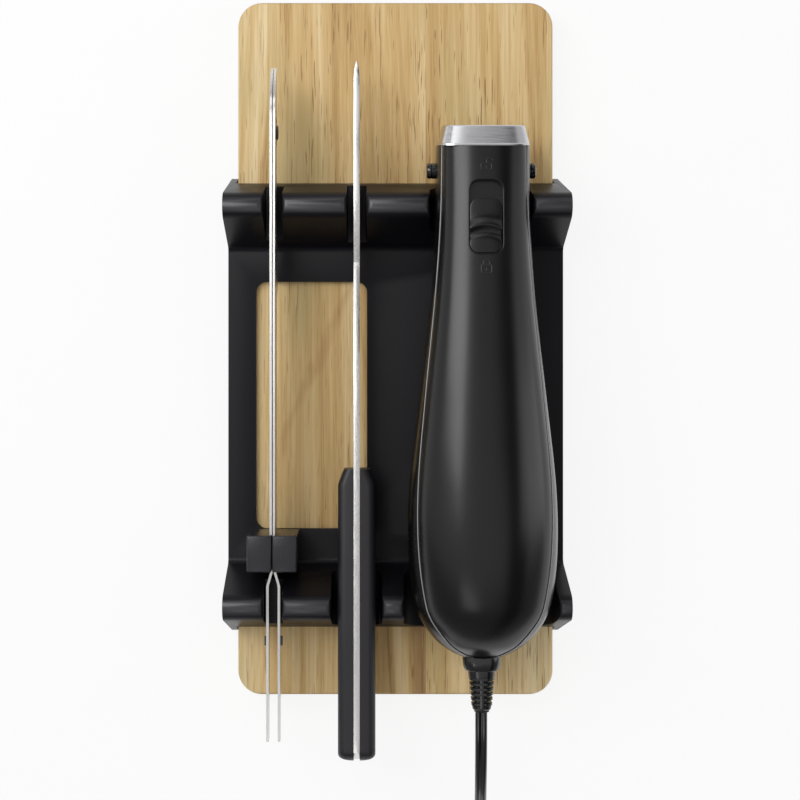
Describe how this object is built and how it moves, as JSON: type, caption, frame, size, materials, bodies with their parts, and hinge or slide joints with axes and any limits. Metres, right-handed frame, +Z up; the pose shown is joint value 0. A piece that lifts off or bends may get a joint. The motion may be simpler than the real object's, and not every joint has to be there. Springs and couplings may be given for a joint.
{
  "type": "electric carving knife set",
  "caption": "Electric carving knife with cord, twin blades and carving fork, stood on edge in a moulded tray that slides over a wooden carving board.",
  "frame": {"origin": "centre of the set's footprint on the surface it stands on, taken without the cord", "axes": "+Z up; +Y along the blades towards their tips; +X towards the powered handle's side"},
  "size_m": [0.16, 0.5032, 0.0848],
  "materials": {
    "tray_plastic": "fine satin mould texture",
    "pad_rubber": "matte",
    "board_wood": "oiled, fine grain",
    "blade_steel": "fine brushed",
    "guard_plastic": "gloss",
    "fork_steel": "fine brushed",
    "scale_plastic": "satin",
    "rivet_steel": "polished",
    "housing_plastic": "satin gloss",
    "collar_metal": "brushed",
    "button_plastic": "gloss",
    "trigger_plastic": "satin",
    "spring_steel": "drawn wire",
    "switch_plastic": "moulded",
    "can_steel": "zinc plated",
    "magnet_ferrite": "ground",
    "core_steel": "laminated",
    "winding_copper": "enamelled wire",
    "commutator_copper": "turned",
    "brush_carbon": "matte",
    "cap_plastic": "moulded",
    "bush_bronze": "sintered",
    "shaft_steel": "ground",
    "fan_plastic": "moulded",
    "circuit_laminate": "satin",
    "gear_nylon": "moulded",
    "frame_steel": "zinc plated",
    "yoke_nylon": "moulded",
    "guide_plastic": "moulded",
    "screw_steel": "zinc plated",
    "relief_rubber": "satin",
    "cord_vinyl": "satin gloss",
    "tie_plastic": "satin",
    "plug_vinyl": "satin",
    "prong_brass": "plated"
  },
  "bodies": {
    "tray": {"tray": "tray_plastic", "tray_ridges": "tray_plastic", "tray_feet": "pad_rubber"},
    "board": {"cutting_board": "board_wood"},
    "fork": {"fork_steel": "fork_steel", "fork_scale_left": "scale_plastic", "fork_scale_right": "scale_plastic", "fork_rivets": "rivet_steel"},
    "blade_left": {"knife_blade_left": "blade_steel", "tang_nub_left": "blade_steel", "blade_guard_left": "guard_plastic"},
    "blade_right": {"knife_blade_right": "blade_steel", "tang_nub_right": "blade_steel", "blade_guard_right": "guard_plastic"},
    "knife": {"lower_housing": "housing_plastic", "upper_cover": "housing_plastic", "front_collar": "collar_metal", "button_spring_left": "spring_steel", "button_spring_right": "spring_steel", "trigger_pin": "shaft_steel", "trigger_spring": "spring_steel", "trigger_switch": "switch_plastic", "motor_can": "can_steel", "motor_magnets": "magnet_ferrite", "carbon_brushes": "brush_carbon", "motor_end_cap": "cap_plastic", "motor_bushes": "bush_bronze", "rectifier_board": "circuit_laminate", "gear_axle": "shaft_steel", "gear_frame": "frame_steel", "front_guide": "guide_plastic", "housing_screws": "screw_steel", "strain_relief": "relief_rubber", "power_cord": "cord_vinyl", "cord_coil": "cord_vinyl", "cord_tie": "tie_plastic", "plug_body": "plug_vinyl", "plug_prongs": "prong_brass"},
    "lock": {"lock_slider": "housing_plastic"},
    "button_left": {"release_button_left": "button_plastic"},
    "button_right": {"release_button_right": "button_plastic"},
    "trigger": {"trigger": "trigger_plastic"},
    "armature": {"motor_shaft": "shaft_steel", "armature_core": "core_steel", "armature_windings": "winding_copper", "commutator": "commutator_copper", "cooling_fan": "fan_plastic", "worm": "shaft_steel"},
    "gear": {"drive_gear": "gear_nylon"},
    "yoke_left": {"drive_yoke_left": "yoke_nylon"},
    "yoke_right": {"drive_yoke_right": "yoke_nylon"}
  },
  "joints": [
    {"name": "board_slide", "type": "slide", "parent": "tray", "child": "board", "axis": [0, 1, 0], "range_m": [0, 0.26]},
    {"name": "fork_lift", "type": "slide", "parent": "tray", "child": "fork", "axis": [0, 0, 1], "range_m": [0, 0.045]},
    {"name": "blades_lift", "type": "slide", "parent": "tray", "child": "blade_left", "axis": [0, 0, 1], "range_m": [0, 0.045]},
    {"name": "blade_stroke", "type": "slide", "parent": "blade_left", "child": "blade_right", "axis": [0, 1, 0], "range_m": [-0.0008, 0.004]},
    {"name": "knife_lift", "type": "slide", "parent": "tray", "child": "knife", "axis": [0, 0, 1], "range_m": [0, 0.05]},
    {"name": "lock_slide", "type": "slide", "parent": "knife", "child": "lock", "axis": [0, 1, 0], "range_m": [0, 0.0079]},
    {"name": "button_left_press", "type": "slide", "parent": "knife", "child": "button_left", "axis": [1, 0, 0], "range_m": [0, 0.0025], "stiffness_N_per_m": 600, "springref_m": -0.003, "deforming": ["button_spring_left"]},
    {"name": "button_right_press", "type": "slide", "parent": "knife", "child": "button_right", "axis": [-1, 0, 0], "range_m": [0, 0.0025], "stiffness_N_per_m": 600, "springref_m": -0.003, "deforming": ["button_spring_right"]},
    {"name": "trigger_pull", "type": "hinge", "parent": "knife", "child": "trigger", "pos_m": [0.03835, 0.0163, 0.03287], "axis": [1, 0, 0], "range_deg": [0, 5], "stiffness_Nm_per_rad": 0.4, "springref_deg": -6.88, "deforming": ["trigger_spring"]},
    {"name": "motor_spin", "type": "hinge", "parent": "knife", "child": "armature", "pos_m": [0.03835, -0.0667, 0.06], "axis": [0, 1, 0], "continuous": true},
    {"name": "gear_spin", "type": "hinge", "parent": "knife", "child": "gear", "pos_m": [0.03835, -0.0067, 0.0454], "axis": [1, 0, 0], "continuous": true},
    {"name": "yoke_left_slide", "type": "slide", "parent": "knife", "child": "yoke_left", "axis": [0, 1, 0], "range_m": [-0.004, 0.004]},
    {"name": "yoke_right_slide", "type": "slide", "parent": "knife", "child": "yoke_right", "axis": [0, 1, 0], "range_m": [-0.004, 0.004]}
  ],
  "couplings": [
    {"joint": "gear_spin", "follows": "motor_spin", "ratio": 0.045455},
    {"joint": "yoke_right_slide", "follows": "yoke_left_slide", "ratio": -1}
  ]
}
